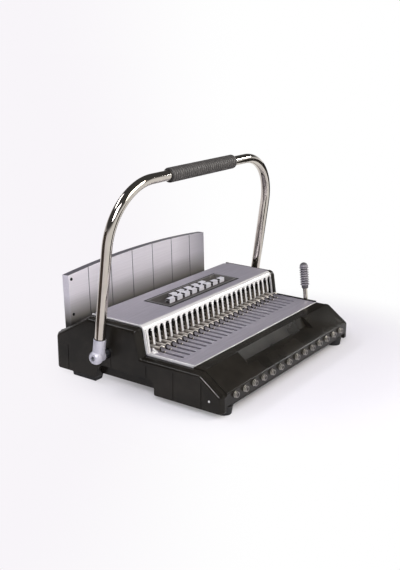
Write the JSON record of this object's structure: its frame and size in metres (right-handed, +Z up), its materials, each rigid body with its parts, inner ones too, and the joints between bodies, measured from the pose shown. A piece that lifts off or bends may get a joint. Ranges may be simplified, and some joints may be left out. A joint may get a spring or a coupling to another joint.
{
  "type": "comb binding machine",
  "caption": "Desktop comb punch-and-bind machine: wide U handle, wall of tines over hooks in slits, key tray, pull knobs, paper support and a small opener lever.",
  "frame": {"origin": "under the middle of the whole machine, on the table", "axes": "X along the comb row to the right, Y to the rear, Z up"},
  "size_m": [0.46, 0.3194, 0.3233],
  "materials": {
    "black_abs": "smooth moulded black, soft satin sheen",
    "silver_paint": "silver lilac enamel with a fine grain",
    "polished_steel": "polished bright plating",
    "chrome": "polished chrome tube",
    "tray_plastic": "dark grey moulded",
    "key_plastic": "silver white moulded keys",
    "grip_rubber": "dark grey ribbed grip",
    "hub_metal": "matte silver castings",
    "tool_steel": "ground tool steel",
    "frame_steel": "plain steel sheet and bar",
    "bronze": "sintered bronze bushes",
    "black_screw": "blackened screws",
    "foot_rubber": "black rubber feet",
    "knob_metal": "turned spool knobs"
  },
  "bodies": {
    "frame": {"base_pan": "black_abs", "left_side_cover": "black_abs", "right_side_cover": "black_abs", "front_cover": "black_abs", "rear_cover": "black_abs", "top_deck": "silver_paint", "comb_wall": "polished_steel", "comb_tines": "polished_steel", "end_stop": "polished_steel", "lower_deck": "silver_paint", "selector_tray": "tray_plastic", "paper_support": "silver_paint", "cover_screws": "black_screw", "feet": "foot_rubber", "frame_plates": "frame_steel", "pin_guide": "tool_steel", "die_plate": "tool_steel", "shaft_bushes": "bronze", "knob_rail": "frame_steel"},
    "handle": {"handle_loop": "chrome", "handle_grip": "grip_rubber", "handle_hubs": "hub_metal", "hub_screws": "frame_steel", "cross_shaft": "frame_steel", "punch_cams": "tool_steel"},
    "punch": {"pressure_bar": "tool_steel", "punch_pins": "tool_steel"},
    "opener_lever": {"lever_rod": "chrome", "lever_grip": "grip_rubber", "lever_crank": "frame_steel"},
    "hook_carriage": {"hook_bar": "frame_steel", "comb_hooks": "polished_steel"},
    "chip_drawer": {"chip_tray": "black_abs"},
    "front_key_1_body": {"front_key_1": "key_plastic"},
    "front_key_2_body": {"front_key_2": "key_plastic"},
    "front_key_3_body": {"front_key_3": "key_plastic"},
    "front_key_4_body": {"front_key_4": "key_plastic"},
    "front_key_5_body": {"front_key_5": "key_plastic"},
    "front_key_6_body": {"front_key_6": "key_plastic"},
    "front_key_7_body": {"front_key_7": "key_plastic"},
    "front_key_8_body": {"front_key_8": "key_plastic"},
    "rear_key_1_body": {"rear_key_1": "key_plastic"},
    "rear_key_2_body": {"rear_key_2": "key_plastic"},
    "rear_key_3_body": {"rear_key_3": "key_plastic"},
    "rear_key_4_body": {"rear_key_4": "key_plastic"},
    "rear_key_5_body": {"rear_key_5": "key_plastic"},
    "pull_knob_1_body": {"pull_knob_1": "knob_metal"},
    "pull_knob_2_body": {"pull_knob_2": "knob_metal"},
    "pull_knob_3_body": {"pull_knob_3": "knob_metal"},
    "pull_knob_4_body": {"pull_knob_4": "knob_metal"},
    "pull_knob_5_body": {"pull_knob_5": "knob_metal"},
    "pull_knob_6_body": {"pull_knob_6": "knob_metal"},
    "pull_knob_7_body": {"pull_knob_7": "knob_metal"},
    "pull_knob_8_body": {"pull_knob_8": "knob_metal"},
    "pull_knob_9_body": {"pull_knob_9": "knob_metal"},
    "pull_knob_10_body": {"pull_knob_10": "knob_metal"},
    "pull_knob_11_body": {"pull_knob_11": "knob_metal"},
    "pull_knob_12_body": {"pull_knob_12": "knob_metal"},
    "pull_knob_13_body": {"pull_knob_13": "knob_metal"},
    "pull_knob_14_body": {"pull_knob_14": "knob_metal"}
  },
  "joints": [
    {"name": "handle_swing", "type": "hinge", "parent": "frame", "child": "handle", "pos_m": [0, 0.05326, 0.055], "axis": [1, 0, 0], "range_deg": [0, 65], "stiffness_Nm_per_rad": 1.5, "springref_deg": -20.05},
    {"name": "punch_slide", "type": "slide", "parent": "frame", "child": "punch", "axis": [0, 1, 0], "range_m": [0, 0.012]},
    {"name": "lever_swing", "type": "hinge", "parent": "frame", "child": "opener_lever", "pos_m": [0.1908, -0.07874, 0.022], "axis": [1, 0, 0], "range_deg": [0, 38]},
    {"name": "hook_slide", "type": "slide", "parent": "frame", "child": "hook_carriage", "axis": [0, -1, 0], "range_m": [0, 0.024]},
    {"name": "chip_drawer_slide", "type": "slide", "parent": "frame", "child": "chip_drawer", "axis": [0, 1, 0], "range_m": [0, 0.05]},
    {"name": "front_key_1_press", "type": "slide", "parent": "frame", "child": "front_key_1_body", "axis": [0, 0, -1], "range_m": [0, 0.004], "stiffness_N_per_m": 200, "springref_m": -0.003},
    {"name": "front_key_2_press", "type": "slide", "parent": "frame", "child": "front_key_2_body", "axis": [0, 0, -1], "range_m": [0, 0.004], "stiffness_N_per_m": 200, "springref_m": -0.003},
    {"name": "front_key_3_press", "type": "slide", "parent": "frame", "child": "front_key_3_body", "axis": [0, 0, -1], "range_m": [0, 0.004], "stiffness_N_per_m": 200, "springref_m": -0.003},
    {"name": "front_key_4_press", "type": "slide", "parent": "frame", "child": "front_key_4_body", "axis": [0, 0, -1], "range_m": [0, 0.004], "stiffness_N_per_m": 200, "springref_m": -0.003},
    {"name": "front_key_5_press", "type": "slide", "parent": "frame", "child": "front_key_5_body", "axis": [0, 0, -1], "range_m": [0, 0.004], "stiffness_N_per_m": 200, "springref_m": -0.003},
    {"name": "front_key_6_press", "type": "slide", "parent": "frame", "child": "front_key_6_body", "axis": [0, 0, -1], "range_m": [0, 0.004], "stiffness_N_per_m": 200, "springref_m": -0.003},
    {"name": "front_key_7_press", "type": "slide", "parent": "frame", "child": "front_key_7_body", "axis": [0, 0, -1], "range_m": [0, 0.004], "stiffness_N_per_m": 200, "springref_m": -0.003},
    {"name": "front_key_8_press", "type": "slide", "parent": "frame", "child": "front_key_8_body", "axis": [0, 0, -1], "range_m": [0, 0.004], "stiffness_N_per_m": 200, "springref_m": -0.003},
    {"name": "rear_key_1_press", "type": "slide", "parent": "frame", "child": "rear_key_1_body", "axis": [0, 0, -1], "range_m": [0, 0.004], "stiffness_N_per_m": 200, "springref_m": -0.003},
    {"name": "rear_key_2_press", "type": "slide", "parent": "frame", "child": "rear_key_2_body", "axis": [0, 0, -1], "range_m": [0, 0.004], "stiffness_N_per_m": 200, "springref_m": -0.003},
    {"name": "rear_key_3_press", "type": "slide", "parent": "frame", "child": "rear_key_3_body", "axis": [0, 0, -1], "range_m": [0, 0.004], "stiffness_N_per_m": 200, "springref_m": -0.003},
    {"name": "rear_key_4_press", "type": "slide", "parent": "frame", "child": "rear_key_4_body", "axis": [0, 0, -1], "range_m": [0, 0.004], "stiffness_N_per_m": 200, "springref_m": -0.003},
    {"name": "rear_key_5_press", "type": "slide", "parent": "frame", "child": "rear_key_5_body", "axis": [0, 0, -1], "range_m": [0, 0.004], "stiffness_N_per_m": 200, "springref_m": -0.003},
    {"name": "pull_knob_1_slide", "type": "slide", "parent": "frame", "child": "pull_knob_1_body", "axis": [0, -1, 0], "range_m": [0, 0.007]},
    {"name": "pull_knob_2_slide", "type": "slide", "parent": "frame", "child": "pull_knob_2_body", "axis": [0, -1, 0], "range_m": [0, 0.007]},
    {"name": "pull_knob_3_slide", "type": "slide", "parent": "frame", "child": "pull_knob_3_body", "axis": [0, -1, 0], "range_m": [0, 0.007]},
    {"name": "pull_knob_4_slide", "type": "slide", "parent": "frame", "child": "pull_knob_4_body", "axis": [0, -1, 0], "range_m": [0, 0.007]},
    {"name": "pull_knob_5_slide", "type": "slide", "parent": "frame", "child": "pull_knob_5_body", "axis": [0, -1, 0], "range_m": [0, 0.007]},
    {"name": "pull_knob_6_slide", "type": "slide", "parent": "frame", "child": "pull_knob_6_body", "axis": [0, -1, 0], "range_m": [0, 0.007]},
    {"name": "pull_knob_7_slide", "type": "slide", "parent": "frame", "child": "pull_knob_7_body", "axis": [0, -1, 0], "range_m": [0, 0.007]},
    {"name": "pull_knob_8_slide", "type": "slide", "parent": "frame", "child": "pull_knob_8_body", "axis": [0, -1, 0], "range_m": [0, 0.007]},
    {"name": "pull_knob_9_slide", "type": "slide", "parent": "frame", "child": "pull_knob_9_body", "axis": [0, -1, 0], "range_m": [0, 0.007]},
    {"name": "pull_knob_10_slide", "type": "slide", "parent": "frame", "child": "pull_knob_10_body", "axis": [0, -1, 0], "range_m": [0, 0.007]},
    {"name": "pull_knob_11_slide", "type": "slide", "parent": "frame", "child": "pull_knob_11_body", "axis": [0, -1, 0], "range_m": [0, 0.007]},
    {"name": "pull_knob_12_slide", "type": "slide", "parent": "frame", "child": "pull_knob_12_body", "axis": [0, -1, 0], "range_m": [0, 0.007]},
    {"name": "pull_knob_13_slide", "type": "slide", "parent": "frame", "child": "pull_knob_13_body", "axis": [0, -1, 0], "range_m": [0, 0.007]},
    {"name": "pull_knob_14_slide", "type": "slide", "parent": "frame", "child": "pull_knob_14_body", "axis": [0, -1, 0], "range_m": [0, 0.007]}
  ],
  "couplings": [
    {"joint": "punch_slide", "follows": "handle_swing", "m_per_rad": 0.010577},
    {"joint": "hook_slide", "follows": "lever_swing", "m_per_rad": 0.036186}
  ]
}
